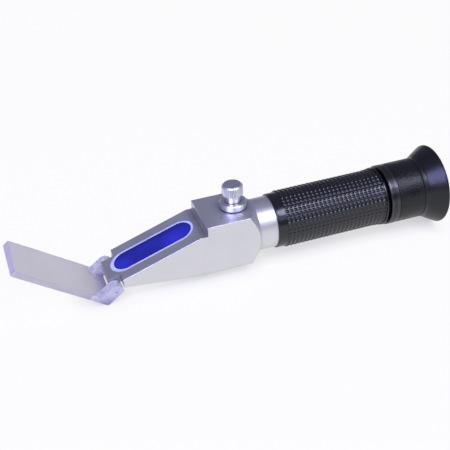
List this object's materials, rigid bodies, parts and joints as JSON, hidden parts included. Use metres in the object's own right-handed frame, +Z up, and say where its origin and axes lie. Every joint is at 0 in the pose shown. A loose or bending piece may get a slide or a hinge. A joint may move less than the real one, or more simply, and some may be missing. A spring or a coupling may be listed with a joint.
{
  "type": "handheld refractometer",
  "caption": "Handheld refractometer with a sloping glass prism under a hinged clear cover plate, a knurled calibration screw, a soft studded grip and a focusing eyepiece with a flared eyecup.",
  "frame": {"origin": "on the block's flat underside, straight below the axis of the calibration screw", "axes": "+X along the tube towards the eyepiece, +Z up through the calibration screw, +Y to the left of someone looking along +X"},
  "size_m": [0.2156, 0.04, 0.0456],
  "materials": {
    "satin_aluminium": "satin anodised, fine bead-blasted grain",
    "blue_glass": "polished flat, deep blue from the chamber below",
    "pale_seal": "smooth cast resin",
    "pin_steel": "ground steel",
    "clear_acrylic": "clear moulded acrylic, frosted on the inside face",
    "bright_nickel": "bright nickel plate",
    "black_rubber": "matt moulded rubber",
    "grip_rubber": "moulded rubber with small raised studs",
    "black_plastic": "semi-gloss moulded",
    "black_aluminium": "black anodised, matt",
    "brass_carrier": "turned and milled",
    "clear_glass": "polished"
  },
  "bodies": {
    "housing": {"main_body": "satin_aluminium", "prism": "blue_glass", "prism_seal": "pale_seal", "hinge_pin": "pin_steel", "calibration_bush": "bright_nickel", "bush_gasket": "black_rubber", "carrier_return_spring": "pin_steel", "barrel": "black_aluminium", "barrel_seal": "black_rubber", "barrel_lock_screw": "pin_steel", "aperture_stop": "black_aluminium", "grip_sleeve": "grip_rubber", "reticle": "clear_glass", "reticle_cell": "black_aluminium", "reticle_retaining_ring": "black_aluminium", "focus_guide_pin": "pin_steel"},
    "cover": {"cover_plate": "clear_acrylic"},
    "knob": {"calibration_knob": "bright_nickel", "knob_retaining_clip": "pin_steel"},
    "carrier": {"objective_carrier": "brass_carrier", "objective_crown_lens": "clear_glass", "objective_flint_lens": "clear_glass", "objective_retaining_ring": "black_aluminium"},
    "lens_tube": {"lens_cell": "black_aluminium", "cell_snap_ring": "pin_steel", "field_lens": "clear_glass", "field_lens_retaining_ring": "black_aluminium", "eye_lens": "clear_glass", "eye_lens_retaining_ring": "black_aluminium"},
    "eyepiece": {"focus_ring": "black_plastic", "focus_ring_band": "grip_rubber", "eyecup": "black_rubber"}
  },
  "joints": [
    {"name": "cover_hinge", "type": "hinge", "parent": "housing", "child": "cover", "pos_m": [-0.0634, 0, 0.00225], "axis": [0, 1, 0], "range_deg": [-24, 126.2]},
    {"name": "calibration_turn", "type": "hinge", "parent": "housing", "child": "knob", "pos_m": [0, 0, 0.0335], "axis": [0, 0, 1], "range_deg": [-180, 180]},
    {"name": "carrier_shift", "type": "slide", "parent": "housing", "child": "carrier", "axis": [0, 0, 1], "range_m": [-0.00025, 0.00025], "deforming": ["carrier_return_spring"]},
    {"name": "focus_travel", "type": "slide", "parent": "housing", "child": "lens_tube", "axis": [1, 0, 0], "range_m": [-0.00151, 0.00151]},
    {"name": "focus_turn", "type": "hinge", "parent": "lens_tube", "child": "eyepiece", "pos_m": [0.087, 0, 0.0128], "axis": [1, 0, 0], "range_deg": [-180, 180]}
  ],
  "couplings": [
    {"joint": "calibration_turn", "follows": "carrier_shift", "rad_per_m": -12566},
    {"joint": "focus_travel", "follows": "focus_turn", "m_per_rad": 0.00047746}
  ]
}
